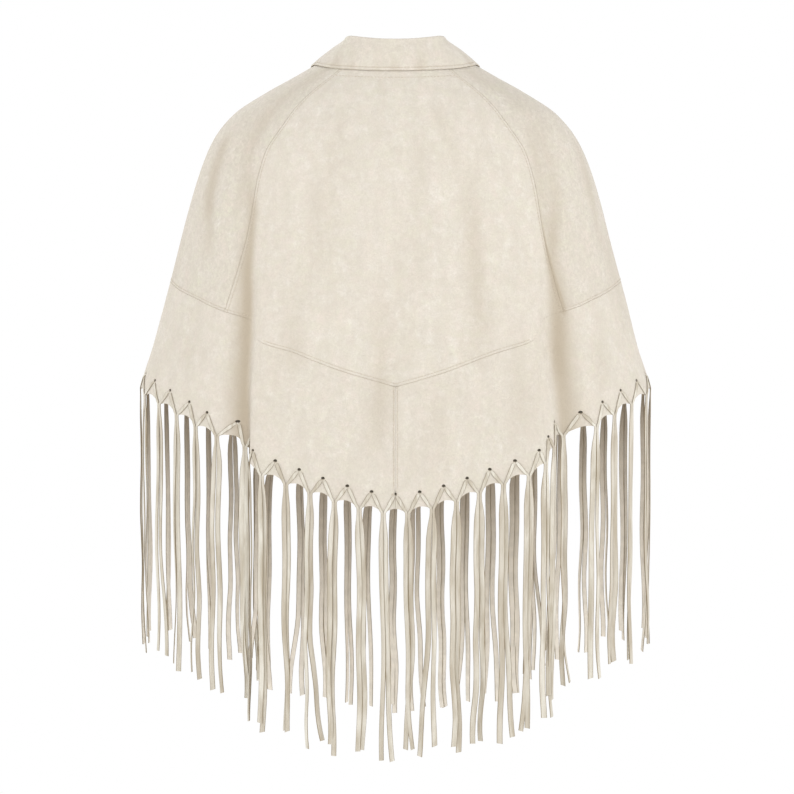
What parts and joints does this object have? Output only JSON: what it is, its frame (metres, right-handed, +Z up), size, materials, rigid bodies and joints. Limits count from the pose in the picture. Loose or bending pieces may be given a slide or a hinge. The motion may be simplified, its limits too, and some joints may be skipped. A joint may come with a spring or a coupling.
{
  "type": "fringed poncho",
  "caption": "Worn-form suede poncho, open and empty, with a turned-down collar, a V seam across the back and a laced hem of long hanging thongs.",
  "frame": {"origin": "centre of the neck opening, level with the collar seam at the centre back, where the wearer's neck and shoulders hold it", "axes": "+Z up, the wearer's front faces -Y, +X is the wearer's left"},
  "size_m": [0.6654, 0.3282, 0.9224],
  "materials": {
    "suede": "brushed nap, matt",
    "thong": "cut suede, matt",
    "thread": "matt sewing thread"
  },
  "bodies": {
    "root": {"collar_stand": "suede", "collar_leaf": "suede", "upper_back": "suede", "shoulder_left": "suede", "shoulder_right": "suede", "upper_front_left": "suede", "upper_front_right": "suede", "lower_left": "suede", "lower_right": "suede", "fringe_back": "thong", "fringe_back_side_left": "thong", "fringe_back_side_right": "thong", "fringe_front_side_left": "thong", "fringe_front_side_right": "thong", "fringe_front": "thong"}
  },
  "joints": []
}
